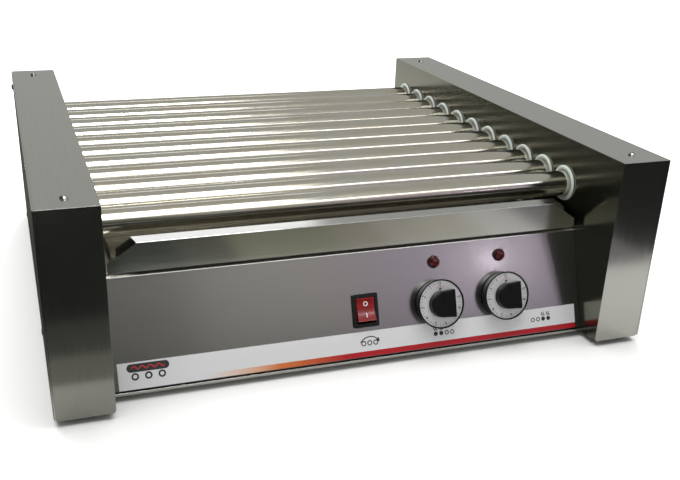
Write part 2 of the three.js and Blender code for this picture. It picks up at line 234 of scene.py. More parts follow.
def new_mesh(name, bm):
    """A mesh of the shape. The bmesh is freed."""
    mesh = bpy.data.meshes.new(name)
    bm.to_mesh(mesh)
    bm.free()
    return mesh


def joined(*parts):
    whole = bmesh.new()
    for part in parts:
        mesh = new_mesh("part", part)
        whole.from_mesh(mesh)
        bpy.data.meshes.remove(mesh)
    return whole


def tinted(bm, index):
    for face in bm.faces:
        face.material_index = index
    return bm


def raw_object(bm):
    face_outward(bm)
    return new_object("raw", new_mesh("raw", bm))


def evaluated(obj, *spare):
    """The object's finished mesh as a bmesh. The object and the spare ones are removed."""
    bpy.context.view_layer.update()
    bm = bmesh.new()
    graph = bpy.context.evaluated_depsgraph_get()
    final = obj.evaluated_get(graph)
    bm.from_mesh(final.to_mesh())
    final.to_mesh_clear()
    for old in (obj, *spare):
        bpy.data.objects.remove(old)
    return bm


def carved(base, *tools):
    """base less the tools."""
    body = raw_object(base)
    cutters = [raw_object(tool) for tool in tools]
    for cutter in cutters:
        cut = body.modifiers.new("cut", "BOOLEAN")
        cut.object = cutter
        cut.operation = "DIFFERENCE"
        cut.solver = "EXACT"
    return evaluated(body, *cutters)


def cad_copy(node):
    """A CAD node's shape in millimetres, its flat faces whole again."""
    bm = bmesh.new()
    bm.from_mesh(frame["nodes"][node].data)
    bm.transform(Matrix.Scale(1 / MM, 4))
    bmesh.ops.remove_doubles(bm, verts=bm.verts, dist=1e-3)
    bmesh.ops.dissolve_limit(bm, angle_limit=radians(1), verts=bm.verts, edges=bm.edges)
    return bm


def written(text, size, height):
    """Numerals as a thin solid, centred on the origin."""
    curve = bpy.data.curves.new("text", "FONT")
    curve.body = text
    curve.size = size
    curve.align_x = "CENTER"
    curve.align_y = "CENTER"
    curve.resolution_u = 3
    curve.extrude = height / 2
    bm = evaluated(new_object("text", curve))
    bpy.data.curves.remove(curve)
    return moved(bm, 0, 0, height / 2)


def piece(name, bm, materials, body="frame", stands_for=(), edge=0.0, soft=35, folds=None):
    """Makes one visible object of a shape in millimetres.

    edge rounds off every sharp edge by that much. folds = ([(axis, value), ...], radius) rounds the
    edges where two of those planes meet by the larger radius. Without either, edges sharper than
    soft degrees stay crisp.
    """
    face_outward(bm)
    if folds:
        planes, radius = folds
        weights = bm.edges.layers.float.new("bevel_weight_edge")
        for e in bm.edges:
            hits = sum(all(abs(v.co[axis] - at) < 0.01 for v in e.verts) for axis, at in planes)
            sharp = len(e.link_faces) == 2 and e.calc_face_angle() > radians(soft)
            e[weights] = 1.0 if hits > 1 else (edge / radius if sharp else 0.0)
    for e in bm.edges:
        crisp = len(e.link_faces) != 2 or e.calc_face_angle() > radians(soft)
        e.smooth = bool(edge) or not crisp
    for face in bm.faces:
        face.smooth = True
    bm.transform(Matrix.Scale(MM, 4))
    mesh = new_mesh(name, bm)
    for material in materials if isinstance(materials, (list, tuple)) else [materials]:
        mesh.materials.append(material)
    obj = new_object(name, mesh)
    if edge:
        bevel = obj.modifiers.new("edges", "BEVEL")
        bevel.width = (folds[1] if folds else edge) * MM
        bevel.limit_method = "WEIGHT" if folds else "ANGLE"
        bevel.angle_limit = radians(soft)
        bevel.segments = 4 if folds else 2
        bevel.miter_outer = "MITER_ARC"
    normals = obj.modifiers.new("normals", "WEIGHTED_NORMAL")
    normals.keep_sharp = True
    settle(obj, body, stands_for)


def settle(obj, body, stands_for=()):
    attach(obj, body)
    if stands_for:
        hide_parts(*stands_for)


# ---- materials ----
def shader(name, colour, rough, metal=0.0, **sockets):
    """A new material. Returns it with its node tree and its Principled BSDF."""
    material = bpy.data.materials.new(name)
    material.use_nodes = True
    tree = material.node_tree
    bsdf = tree.nodes["Principled BSDF"]
    bsdf.inputs["Base Color"].default_value = (*colour, 1)
    bsdf.inputs["Roughness"].default_value = rough
    bsdf.inputs["Metallic"].default_value = metal
    for socket, value in sockets.items():
        bsdf.inputs[socket.replace("_", " ")].default_value = value
    return material, tree, bsdf


def place_in(tree, scale):
    """Object coordinates, in metres, times scale."""
    coords = tree.nodes.new("ShaderNodeTexCoord")
    mapping = tree.nodes.new("ShaderNodeMapping")
    mapping.inputs["Scale"].default_value = scale
    tree.links.new(coords.outputs["Object"], mapping.inputs["Vector"])
    return mapping.outputs["Vector"]


def noise_in(tree, scale, detail):
    """Noise in object space. scale is its number of cells to the metre along X, Y and Z."""
    noise = tree.nodes.new("ShaderNodeTexNoise")
    noise.inputs["Scale"].default_value = 1.0
    noise.inputs["Detail"].default_value = detail
    tree.links.new(place_in(tree, scale), noise.inputs["Vector"])
    return noise.outputs["Fac"]


def spread(tree, value, low, high, from_low=0.3, from_high=0.7):
    remap = tree.nodes.new("ShaderNodeMapRange")
    remap.inputs["From Min"].default_value = from_low
    remap.inputs["From Max"].default_value = from_high
    remap.inputs["To Min"].default_value = low
    remap.inputs["To Max"].default_value = high
    tree.links.new(value, remap.inputs["Value"])
    return remap.outputs["Result"]


def blended(tree, factor, a, b):
    """A colour between a and b."""
    mix = tree.nodes.new("ShaderNodeMix")
    mix.data_type = "RGBA"
    tree.links.new(factor, mix.inputs["Factor"])
    for socket, value in ((mix.inputs[6], a), (mix.inputs[7], b)):
        if isinstance(value, (tuple, list)):
            socket.default_value = (*value, 1)
        else:
            tree.links.new(value, socket)
    return mix.outputs[2]


def coloured(tree, bsdf, factor, a, b):
    """The base colour goes from a to b with the factor."""
    tree.links.new(blended(tree, factor, a, b), bsdf.inputs["Base Color"])


def product(tree, a, b):
    node = tree.nodes.new("ShaderNodeMath")
    node.operation = "MULTIPLY"
    tree.links.new(a, node.inputs[0])
    tree.links.new(b, node.inputs[1])
    return node.outputs[0]


def bump(tree, bsdf, height, strength):
    node = tree.nodes.new("ShaderNodeBump")
    node.inputs["Strength"].default_value = strength
    node.inputs["Distance"].default_value = 0.0001
    tree.links.new(height, node.inputs["Height"])
    tree.links.new(node.outputs["Normal"], bsdf.inputs["Normal"])


def brushed(name, grain, tint, rough, blotch=0.05, grind=0.035, **sockets):
    """Brushed stainless. grain is the scale of its lines along X, Y and Z."""
    material, tree, bsdf = shader(name, tint, rough, 1.0, **sockets)
    lines = noise_in(tree, grain, 1.0)
    clouds = noise_in(tree, (5, 5, 5), 3.0)
    darker = tuple(c * (1 - blotch * 2.2) for c in tint)
    colour = blended(tree, spread(tree, lines, 0, 1), darker, tint)
    dusk = tuple(c * (1 - blotch) for c in tint)
    coloured(tree, bsdf, spread(tree, clouds, 0, 0.6), colour, dusk)
    tree.links.new(spread(tree, lines, rough - grind, rough + grind), bsdf.inputs["Roughness"])
    bump(tree, bsdf, lines, 0.015)
    return material


def speckled(name, colour, rough, grain=900, strength=0.06, **sockets):
    """A moulded or painted surface with a fine texture."""
    material, tree, bsdf = shader(name, colour, rough, **sockets)
    fine = noise_in(tree, (grain,) * 3, 3.0)
    broad = noise_in(tree, (35, 35, 35), 2.0)
    shade = tuple(c * 0.86 for c in colour)
    coloured(tree, bsdf, spread(tree, broad, 0, 1), shade, colour)
    tree.links.new(spread(tree, broad, rough * 0.85, rough * 1.15), bsdf.inputs["Roughness"])
    bump(tree, bsdf, fine, strength)
    return material


FINE = 2600
LONG = 22
STEEL_TINT = (0.64, 0.63, 0.61)
brushed_x = brushed("stainless_along_x", (LONG, FINE, FINE), STEEL_TINT, 0.22, 0.04, 0.02)
panel_steel = brushed("stainless_panel", (LONG, FINE, FINE), STEEL_TINT, 0.22, 0.04, 0.02,
                      Coat_Weight=1.0, Coat_Roughness=0.1)
brushed_y = brushed("stainless_along_y", (FINE, LONG, FINE), STEEL_TINT, 0.17)
brushed_z = brushed("stainless_along_z", (FINE, FINE, LONG), STEEL_TINT, 0.15)
bright_sheet = brushed("stainless_bright", (LONG, FINE, FINE), (0.66, 0.66, 0.65), 0.15, 0.03, 0.02)
# Painted shade: a darker, greyer copy of the stainless for the drip tray pan, whose inside lies in shadow
# under the rollers.
tray_steel_painted_shade = brushed("stainless_tray_painted_shade", (LONG, FINE, FINE), (0.36, 0.35, 0.31), 0.25, 0.04, 0.02)
# Painted shade: a much darker copy of the same stainless for the tower walls facing along X, which stand in
# shadow.
wall_steel_painted_shade = brushed("stainless_wall_painted_shade", (FINE, LONG, FINE), (0.24, 0.24, 0.20), 0.18, 0.04, 0.02)


def make_polished():
    """Ground and polished tube: fine rings round it and a straw tint, partly from the heat and partly a
    painted reflection.
    """
    tint = (0.74, 0.72, 0.66)
    material, tree, bsdf = shader("polished_tube", tint, 0.1, 1.0)
    rings = noise_in(tree, (2200, 4, 4), 3.0)
    haze = noise_in(tree, (22, 60, 60), 4.0)
    straw_heat_and_reflection = (0.66, 0.61, 0.49)
    # The straw tint is partly heat tint and partly painted reflection of the khaki surroundings.
    coloured(tree, bsdf, spread(tree, haze, 0, 0.8), tint, straw_heat_and_reflection)
    tree.links.new(spread(tree, haze, 0.13, 0.20), bsdf.inputs["Roughness"])
    bump(tree, bsdf, rings, 0.02)
    return material


def make_glow_red(name, colour):
    material, tree, bsdf = shader(name, colour, 0.18, Transmission_Weight=0.25, IOR=1.5,
                                  Coat_Weight=0.25, Coat_Roughness=0.05)
    depth = noise_in(tree, (160, 160, 160), 2.0)
    deep = tuple(c * 0.6 for c in colour)
    coloured(tree, bsdf, spread(tree, depth, 0, 1), deep, colour)
    return material


def make_label():
    """White printed film with a stripe along its foot that fades in from the left."""
    material, tree, bsdf = shader("label_film", (0.9, 0.9, 0.9), 0.28, Coat_Weight=0.3)
    apart = tree.nodes.new("ShaderNodeSeparateXYZ")
    tree.links.new(place_in(tree, (1, 1, 1)), apart.inputs["Vector"])
    height = apart.outputs["Z"]
    across = apart.outputs["X"]
    base = PANEL_FOOT.z + UP.z * 4.6
    bottom = (base - UP.z) * MM
    top = (base + UP.z * 5.4) * MM
    edge = 0.0001
    over_bottom = spread(tree, height, 0, 1, bottom - edge, bottom + edge)
    under_top = spread(tree, height, 1, 0, top - edge, top + edge)
    fade = spread(tree, across, 0, 1, -0.155, -0.085)
    redden = spread(tree, across, 0, 1, -0.120, -0.020)
    shown = product(tree, product(tree, over_bottom, under_top), fade)
    stripe = blended(tree, redden, (0.72, 0.26, 0.05), (0.42, 0.010, 0.016))
    coloured(tree, bsdf, shown, (0.69, 0.69, 0.71), stripe)
    return material


polished = make_polished()
oiled_steel = brushed("oiled_steel", (500, 500, 500), (0.33, 0.33, 0.34), 0.38)
plated = brushed("plated_steel", (400, 400, 400), (0.58, 0.58, 0.57), 0.24)
white_plastic = speckled("white_plastic", (0.74, 0.75, 0.71), 0.45, Subsurface_Weight=0.15)
black_plastic = speckled("black_plastic", (0.004, 0.004, 0.004), 0.30, Specular_IOR_Level=0.20)
satin_black = speckled("satin_black", (0.008, 0.008, 0.009), 0.42, grain=1400, Specular_IOR_Level=0.3)
rubber = speckled("rubber", (0.018, 0.018, 0.018), 0.72, strength=0.15)
motor_paint = speckled("motor_paint", (0.07, 0.08, 0.09), 0.45)
ceramic = speckled("ceramic", (0.66, 0.62, 0.53), 0.5)
copper = brushed("copper", (600, 600, 600), (0.72, 0.36, 0.20), 0.3)
wire_red = speckled("wire_red", (0.45, 0.02, 0.02), 0.4)
wire_black = speckled("wire_black", (0.02, 0.02, 0.02), 0.4)
red_rocker = make_glow_red("red_rocker", (0.33, 0.008, 0.008))
red_jewel = make_glow_red("red_jewel", (0.10, 0.004, 0.006))
label_film = make_label()
ink = speckled("ink", (0.02, 0.02, 0.025), 0.5)
ink_red = speckled("ink_red", (0.50, 0.02, 0.02), 0.5)
ink_white = speckled("ink_white", (0.88, 0.88, 0.88), 0.5)
dial_silver = speckled("dial_silver", (0.68, 0.68, 0.69), 0.36, Metallic=0.35)

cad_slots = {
    "stainless": brushed_x, "polished": polished, "steel": oiled_steel, "white_plastic": white_plastic,
    "black_plastic": black_plastic, "red_plastic": red_rocker, "label": label_film, "rubber": rubber,
    "motor_paint": motor_paint, "ceramic": ceramic,
}
SLOT_OF = {part["node"]: part["material_slot"] for part in frame["record"]["subparts"]}
for node, cad_object in frame["nodes"].items():
    cad_object.data.materials.clear()
    cad_object.data.materials.append(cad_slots[SLOT_OF[node]])


# ---- screws ----
def screw_head(radius, height):
    """A pan head with a cross recess, its seat on Z = 0."""
    dome = [(0, -0.6), (radius * 0.55, -0.6), (radius * 0.55, 0), (radius, 0)]
    dome += [(radius - 0.35 * (1 - cos(a)), height * 0.45 * sin(a)) for a in (0.6, 1.1, 1.5)]
    for t in (0.75, 0.5, 0.25, 0.0):
        dome.append((radius * 0.93 * t, height * (0.45 + 0.55 * sqrt(1 - (0.93 * t) ** 2))))
    cross = []
    for turn in (0, pi / 2):
        rings = []
        for w, t, z in ((radius * 0.3, 0.25, height * 0.35), (radius * 0.6, 0.42, height + 1)):
            rings.append([(x, y, z) for x, y in rounded_rect(-w, w, -t, t, t * 0.6, 2)])
        cross.append(placed(loft(rings), Matrix.Rotation(turn, 4, "Z")))
    return carved(lathe(dome, 32), *cross)


def screw(name, at, facing, size=1.0, height=2.3):
    """A screw whose head looks along facing."""
    turn = Vector((0, 0, 1)).rotation_difference(Vector(facing)).to_matrix().to_4x4()
    bm = screw_head(3.7 * size, height * size)
    piece(name, moved(placed(bm, turn), *at), plated)


SIDES = ((-1, "left"), (1, "right"))
SCREW_X = (INNER_X + OUTER_X) / 2
for side, word in SIDES:
    for y, place in ((-247, "front"), (243, "back")):
        screw(f"screw_tower_{word}_{place}", (side * SCREW_X, y, TOP_Z), (0, 0, 1))
    for k, (y, z) in enumerate([(-120, 183), (228, 183), (-120, 16), (228, 16)]):
        proud = 2.3 if z > 100 else 0.9
        screw(f"screw_cover_{word}_{k + 1}", (side * OUTER_X, y, z), (side, 0, 0), 0.92, proud)
for k, (x, z) in enumerate([(-225, 98), (0, 98), (225, 98), (-225, 14), (0, 14), (225, 14)]):
    screw(f"screw_rear_{k + 1}", (x, REAR_Y, z), (0, 1, 0), 0.9)


# ---- towers ----
def tower(side, word):
    lo, hi = node_box(f"tower_{word}")
    inner = lo.x if side > 0 else hi.x
    bm = cad_copy(f"tower_{word}")
    bm.normal_update()
    for face in bm.faces:
        facing = face.normal
        face.material_index = 1 if abs(facing.y) > 0.7 else (2 if abs(facing.x) > 0.7 else 0)
    planes = [(0, inner), (1, lo.y), (1, hi.y), (2, hi.z)]
    # The walls facing along X take the darker stainless copy, which is painted shade.
    piece(f"tower_{word}_sheet", bm, [brushed_y, brushed_z, wall_steel_painted_shade],
          stands_for=[f"tower_{word}"], edge=0.25, folds=(planes, 2.1))


def cad_sheet(node, material, edge):
    """A sheet of its CAD node's own shape, with its edges eased."""
    piece(f"{node}_sheet", cad_copy(node), material, stands_for=[node], edge=edge)


for side, word in SIDES:
    tower(side, word)
    cad_sheet(f"side_cover_{word}", brushed_y, 0.35)


# ---- rollers and bushings ----
def pitch_radius(teeth):
    return CHAIN_PITCH / 2 / sin(pi / teeth)


SPROCKET_T = 3.0


def sprocket(teeth, bore, phase=0.0):
    """A toothed ring about Z, its middle plane on Z = 0."""
    rp = pitch_radius(teeth)
    seat = 1.68
    outline = []
    step = 2 * pi / teeth
    for k in range(teeth):
        a = step * k + phase
        tip = rp + 1.15
        for f in (-0.10, 0.10):
            outline.append((tip * cos(a + f * step), tip * sin(a + f * step)))
        valley = a + step / 2
        centre = Vector((rp * cos(valley), rp * sin(valley)))
        for turn in (-75, -40, 0, 40, 75):
            b = valley + pi - radians(turn)
            outline.append((centre.x + seat * cos(b), centre.y + seat * sin(b)))
    outer = prism(outline, -SPROCKET_T / 2, SPROCKET_T / 2)
    hole = prism(circle(bore, 48), -SPROCKET_T, SPROCKET_T)
    return carved(outer, hole)


SPROCKET_X = 253.5
ROLLER_LO, ROLLER_HI = node_box("roller_01")


def roller_shape():
    """A polished tube with rolled ends, a sprocket and its weld."""
    x0, x1 = ROLLER_LO.x, ROLLER_HI.x
    r, t = TUBE_R, TUBE_WALL
    lip = 0.4
    loop = [(r - lip, x0), (r, x0 + lip), (r, x1 - lip), (r - lip, x1), (r - t + lip, x1),
            (r - t, x1 - lip), (r - t, x0 + lip), (r - t + lip, x0)]
    tube = placed(lathe(loop, 96, closed=True), ALONG_X)
    wheel = moved(placed(sprocket(ROLLER_TEETH, r - 0.4), ALONG_X), SPROCKET_X, 0, 0)
    weld = [(r - 0.3, 0), (r + 1.3, 0), (r + 0.9, 0.7), (r, 1.3), (r - 0.3, 1.3)]
    bead = moved(placed(lathe(weld, 64, closed=True), ALONG_X), SPROCKET_X + 1.5, 0, 0)
    return joined(tube, tinted(wheel, 1), tinted(bead, 1))


for k, (name, axis) in enumerate(zip(ROLLER_NAMES, ROLLER_AXES)):
    bm = roller_shape()
    turn = Matrix.Rotation((k % 2) * pi / ROLLER_TEETH, 4, "X")
    bm.transform(Matrix.Translation((0, axis.y, axis.z)) @ turn)
    piece(f"roller_{name}_tube", bm, [polished, oiled_steel], body=f"roller_{name}",
          stands_for=[f"roller_{name}"])


def bushing_shape():
    """A flanged bearing about Z: the rounded flange from Z = 0 to 2 and the hub below it."""
    bore = TUBE_R + 0.25
    flange = 2.0
    loop = [
        (bore, -6), (15.2, -6), (15.4, -5.8), (15.4, 0), (17.9, 0), (18.2, 0.3), (18.2, 1.0),
        (18.0, 1.5), (17.5, 1.9), (16.9, flange), (15.6, flange), (15.0, 1.8), (14.5, 1.4),
        (bore + 0.6, 0.9), (bore + 0.1, 0.8), (bore, 0.6),
    ]
    return lathe(loop, 56, closed=True)


for side, word in SIDES:
    toward = Matrix.Rotation(radians(-90 * side), 4, "Y")
    for name, axis in zip(ROLLER_NAMES, ROLLER_AXES):
        bm = moved(placed(bushing_shape(), toward), side * (INNER_X - GAP), axis.y, axis.z)
        piece(f"bushing_{word}_{name}_ring", bm, white_plastic,
              stands_for=[f"bushing_{word}_{name}"], soft=40)


# ---- sloped panel and its strip ----
def front_panel():
    foot = PANEL_FOOT + UP * 4.1
    head = PANEL_FOOT + UP * PANEL_LENGTH
    line = [(foot.y, foot.z), (head.y, head.z), (head.y + 13, head.z)]
    line = fillet(line, 3.4, closed=False, steps=8)
    sheet = swept_sheet(line[::-1], -PANEL_HALF, PANEL_HALF)
    holes = [(rounded_rect(-11.5, 11.5, -14.4, 14.4, 0.5), ROCKER_X, ROCKER_S)]
    for knob_x, (lamp_x, lamp_s) in zip(KNOB_X, LAMPS):
        holes.append((circle(4.4, 32), knob_x, KNOB_S))
        holes.append((circle(5, 32), lamp_x, lamp_s))
    tools = [placed(prism(outline, -6, 6), on_panel(x, s)) for outline, x, s in holes]
    piece("front_panel_sheet", carved(sheet, *tools), panel_steel,
          stands_for=["front_panel"], soft=40)


LAMPS = []
for k in (1, 2):
    middle = node_middle(f"lamp_{k}") - PANEL_FOOT
    LAMPS.append((middle.x, middle.dot(UP)))
front_panel()

STRIP_LOW, STRIP_HIGH, STRIP_HALF = 4.6, 29.0, 234.0
STRIP_TOP = 0.6
strip = prism(rounded_rect(-STRIP_HALF, STRIP_HALF, STRIP_LOW, STRIP_HIGH, 0.6), GAP, STRIP_TOP)
piece("label_strip_film", placed(strip, on_panel(0, 0)), label_film,
      stands_for=["label_strip"], soft=30)

PRINT = 0.05


def ring(radius, width, x=0.0, y=0.0, height=PRINT):
    half = width / 2
    loop = [(radius - half, 0), (radius + half, 0), (radius + half, height), (radius - half, height)]
    return moved(lathe(loop, 28, closed=True), x, y, 0)


def disc(radius, x, y):
    return prism(circle(radius, 24, x, y), 0, PRINT)


def heat_wave(x, y, size):
    steps = 12
    pts = [(x + size * 0.22 * sin(2 * pi * k / steps), y + size * k / steps)
           for k in range(steps + 1)]
    return ribbon(pts, 0.8, PRINT)


def heat_sign(hot):
    """Four rollers in a row, the hot pair filled in, with heat rising from it."""
    marks = []
    for k in range(4):
        at = (k - 1.5) * 6.0
        if k in hot:
            marks.append(disc(2.2, at, -1.5))
            marks.append(heat_wave(at - 1, 1.6, 3.6))
            marks.append(heat_wave(at + 1, 1.6, 3.6))
        else:
            marks.append(ring(1.8, 0.9, at, -1.5))
    return joined(*marks)


def turning_sign():
    """Three rollers under an arrow that bends round them."""
    marks = [ring(2.1, 1.0, k * 6.2, -1) for k in (-1, 0, 1)]
    sweep = circle(11.5, 15, 0, -6.6, radians(145), radians(-100), both_ends=True)
    marks.append(ribbon(sweep, 1.0, PRINT))
    tip = Vector(sweep[-1])
    marks.append(prism([(tip.x + 2.2, tip.y - 2.2), (tip.x + 1.4, tip.y + 2.2), (tip.x - 2.0, tip.y - 0.8)],
                       0, PRINT))
    return joined(*marks)


def sausage_sign():
    """A sausage lying on three rollers."""
    body = prism(rounded_rect(-19, 19, 1.5, 9, 3.7, 8), 0, PRINT)
    wheels = [ring(2.6, 1.6, k * 12.0, -2.6) for k in (-1, 0, 1)]
    return joined(body, *wheels)


def sausage_line():
    """The wavy line along the sausage, printed over it."""
    steps = 36
    pts = [(-15 + 30 * k / steps, 5.2 + 1.3 * sin(pi * k / 4.5)) for k in range(steps + 1)]
    return moved(ribbon(pts, 1.1, PRINT), 0, 0, PRINT)


SIGN_S = 18.5
SAUSAGE_X = -207
for word, sign, x, s, colour in (
    ("turning", turning_sign(), ROCKER_X + 2, SIGN_S, ink),
    ("front_heat", heat_sign((0, 1)), KNOB_X[0] + 5.3, SIGN_S + 0.5, ink),
    ("rear_heat", heat_sign((2, 3)), KNOB_X[1] + 42.4, SIGN_S + 1, ink),
    ("sausage", sausage_sign(), SAUSAGE_X, SIGN_S, ink),
    ("sausage_line", sausage_line(), SAUSAGE_X, SIGN_S, ink_red),
):
    piece(f"label_sign_{word}", placed(sign, on_panel(x, s, STRIP_TOP)), colour)


# ---- rocker switch ----
def rocker_frame():
    rim = prism(rounded_rect(-13, 13, -16.2, 16.2, 1.6), GAP, 2.3)
    body = prism(rounded_rect(-11.1, 11.1, -14, 14, 0.8), -20, 1)
    well = rounded_rect(-9.6, 9.6, -12.5, 12.5, 0.6)
    parts = [carved(solid, prism(well, -9, 5)) for solid in (rim, body)]
    for s in (-9.5, 0, 9.5):
        parts.append(tinted(box(-6, -2, s - 0.5, s + 0.5, -26, -19.5), 1))
    for side in (-1, 1):
        parts.append(box(side * 11.1 - 0.6, side * 11.1 + 0.6, -4, 4, -9, -1.6))
    piece("rocker_frame_bezel", placed(joined(*parts), on_panel(ROCKER_X, ROCKER_S)), [satin_black, plated],
          stands_for=["rocker_frame"], edge=0.35)


def rocker():
    rise = 12 * tan(ROCKER_TILT)
    top = 5.6
    ends = top + rise * 0.94
    arc = [(-11.3 + 22.6 * k / 14, top + (ends - top) * abs(-1 + k / 7) ** 1.6) for k in range(15)]
    outline = [(-11.3, -2.9), (11.3, -2.9)] + arc[::-1]
    tilted = on_panel(ROCKER_X, ROCKER_S, ROCKER_LIFT) @ Matrix.Rotation(-ROCKER_TILT, 4, "X")
    body = placed(prism(outline, -9.1, 9.1), ALONG_X)
    piece("rocker_button", placed(body, tilted), red_rocker, body="rocker",
          stands_for=["rocker"], edge=0.45, soft=50)
    slope = atan2(ends - top, 11.3)
    off_mark = placed(ring(1.9, 0.75, height=0.25), Matrix.Translation((0, 5.6, top + 0.62))
                      @ Matrix.Rotation(slope, 4, "X"))
    on_mark = placed(box(-0.45, 0.45, -2.2, 2.2, 0, 0.25), Matrix.Translation((0, -5.6, top + 0.62))
                     @ Matrix.Rotation(-slope, 4, "X"))
    piece("rocker_marks", placed(joined(off_mark, on_mark), tilted), ink_white,
          body="rocker")


rocker_frame()
rocker()


# ---- lamps ----
def lamp(k, x, s):
    bezel = [(6.3, 0.3), (6.3, 1.2), (5.9, 1.7), (5.2, 1.7), (5.2, 0.9), (4.6, 0.9), (4.6, -12),
             (3.9, -14), (0, -14)]
    piece(f"lamp_{k}_bezel", placed(lathe([(0, 0.6)] + [(5.0, 0.6)] + bezel, 40), on_panel(x, s)),
          satin_black, soft=30)
    facets = 10
    jewel = [(5.6, 1.0), (5.7, 2.2), (4.9, 4.3), (3.0, 6.0), (0, 6.6)]
    bm = bmesh.new()
    rows = []
    for j, (r, height) in enumerate(jewel):
        outline = circle(max(r, 1e-5), facets, start=(j % 2) * pi / facets)
        rows.append([bm.verts.new((px, py, height)) for px, py in outline])
    bm.faces.new(rows[0])
    for j, (a, b) in enumerate(zip(rows, rows[1:])):
        for i in range(facets):
            n = (i + 1) % facets
            lower, upper = (a[i], b[n]) if j % 2 else (a[n], b[i])
            bm.faces.new((a[i], a[n], upper))
            bm.faces.new((lower, b[n], b[i]))
    bmesh.ops.remove_doubles(bm, verts=bm.verts, dist=1e-3)
    piece(f"lamp_{k}_jewel", placed(bm, on_panel(x, s)), red_jewel,
          stands_for=[f"lamp_{k}"], soft=5)


for k, (x, s) in enumerate(LAMPS):
    lamp(k + 1, x, s)


# ---- knobs ----
DIAL_N = 10.25
DIAL_IN, DIAL_OUT = 13.0, 22.9


def knob(k, x):
    body = f"knob_{k}"
    at = on_panel(x, KNOB_S)
    skirt = [(0, 1.0), (22.5, 1.0), (22.9, 1.4), (23.1, 3.0), (23.7, 6.5), (24.1, 9.0), (24.35, 10.4),
             (24.3, 11.1), (24.0, 11.4), (23.4, 11.4), (23.05, 11.1), (22.95, 10.1), (0, 10.1)]
    shaft = carved(prism(circle(3, 32), -14, 2), box(-4, 4, 1.9, 4, -15, -4))
    piece(f"knob_{k}_skirt", placed(joined(lathe(skirt, 96), tinted(shaft, 1)), at),
          [black_plastic, plated], body=body, stands_for=[body], soft=40)
    dial = [(DIAL_IN, DIAL_N - 0.1), (DIAL_IN, DIAL_N), (DIAL_OUT - 0.5, DIAL_N), (DIAL_OUT, DIAL_N - 0.1)]
    piece(f"knob_{k}_dial", placed(lathe(dial, 96, closed=True), at), dial_silver,
          body=body, soft=30)

    def printed(bm, turn, radius):
        """Moves a mark up to its radius, then round the dial."""
        return placed(moved(bm, 0, radius, 0), Matrix.Rotation(turn, 4, "Z"))

    marks = []
    count = 10
    step = radians(285) / (count - 1)
    for j in range(count):
        marks.append(printed(written(str(j), 5.4 if j else 6.0, PRINT), step * j, 19.9))
        if j < count - 1:
            for part in (0.25, 0.5, 0.75):
                long = 2.4 if part == 0.5 else 1.5
                tick = box(-0.2, 0.2, -long / 2, long / 2, 0, PRINT)
                marks.append(printed(tick, step * (j + part), 20.6))
    sweep = circle(17.0, 12, 0, 0, radians(104), radians(-28), both_ends=True)
    marks.append(tinted(ribbon(sweep, 0.35, PRINT), 1))
    marks.append(prism([(-1.7, 14.2), (1.7, 14.2), (0, 16.6)], 0, 0.2))
    lean = Matrix.Translation((0, 0, DIAL_N))
    piece(f"knob_{k}_marks", placed(joined(*marks), at @ lean), [ink, ink_red],
          body=body, soft=30)

    half, flat, flare = 12.7, 13.0, 1.0
    outline = [(0, -half), (flat, -half - flare), (flat, half + flare)]
    outline += circle(half, 25, 0, 0, pi / 2, pi, True)
    layers = []
    for inset, n in ((0, 8.0), (0, 16.4), (0.25, 17.1), (0.8, 17.6), (1.5, 17.8)):
        scale = (half - inset) / half
        layers.append([(px * scale, py * scale, n) for px, py in outline])
    grip = loft(layers)
    groove = box(-0.5, 0.5, 3, 15, 17.4, 19)
    piece(f"knob_{k}_grip", placed(carved(grip, groove), at), black_plastic,
          body=body, soft=40)


for k, x in enumerate(KNOB_X):
    knob(k + 1, x)


# ---- drip tray with its folded front flap ----
TRAY_LO = node_box("drip_tray")[0]
FLAP_TOP = 138.4
FLAP_Y = TRAY_LO.y
FLAP_LOW = 111.6
SHOULDER_Z = 120.5
FLAP_HALF, LIP_HALF, LIP_BACK_HALF = 234.0, 208.5, 212.0
LIP_DEEP, LIP_RISE = 9.4, 2.4
TRAY_SHEET = 1.0
PAN_HALF, PAN_FRONT, PAN_BACK, PAN_RIM = 228.0, -207.6, 250.0, 121.0


def pressed(bm, even):
    """The open skin made into sheet. Its faces look outward, and it thickens inward."""
    obj = new_object("raw", new_mesh("raw", bm))
    thick = obj.modifiers.new("sheet", "SOLIDIFY")
    thick.thickness = TRAY_SHEET
    thick.offset = -1
    thick.use_even_offset = even
    return evaluated(obj)


def tray_pan():
    """The pan: a rounded floor and four walls, open on top."""
    x, y0, y1, z0, z1 = PAN_HALF, PAN_FRONT, PAN_BACK, TRAY_LO.z, PAN_RIM
    rings = []
    for inset, z in ((3.0, z0), (1.2, z0 + 0.4), (0.4, z0 + 1.2), (0, z0 + 3.0), (0, z1 - 1)):
        outline = rounded_rect(-x + inset, x - inset, y0 + inset, y1 - inset, 6 - inset * 0.6, 5)
        rings.append([(px, py, z) for px, py in outline])
    bm = loft(rings, caps=False)
    loop = [v for v in bm.verts if abs(v.co.z - z0) < 1e-3]
    bm.faces.new(sorted(loop, key=lambda v: atan2(v.co.y - (y0 + y1) / 2, v.co.x)))
    face_outward(bm)
    return pressed(bm, even=True)


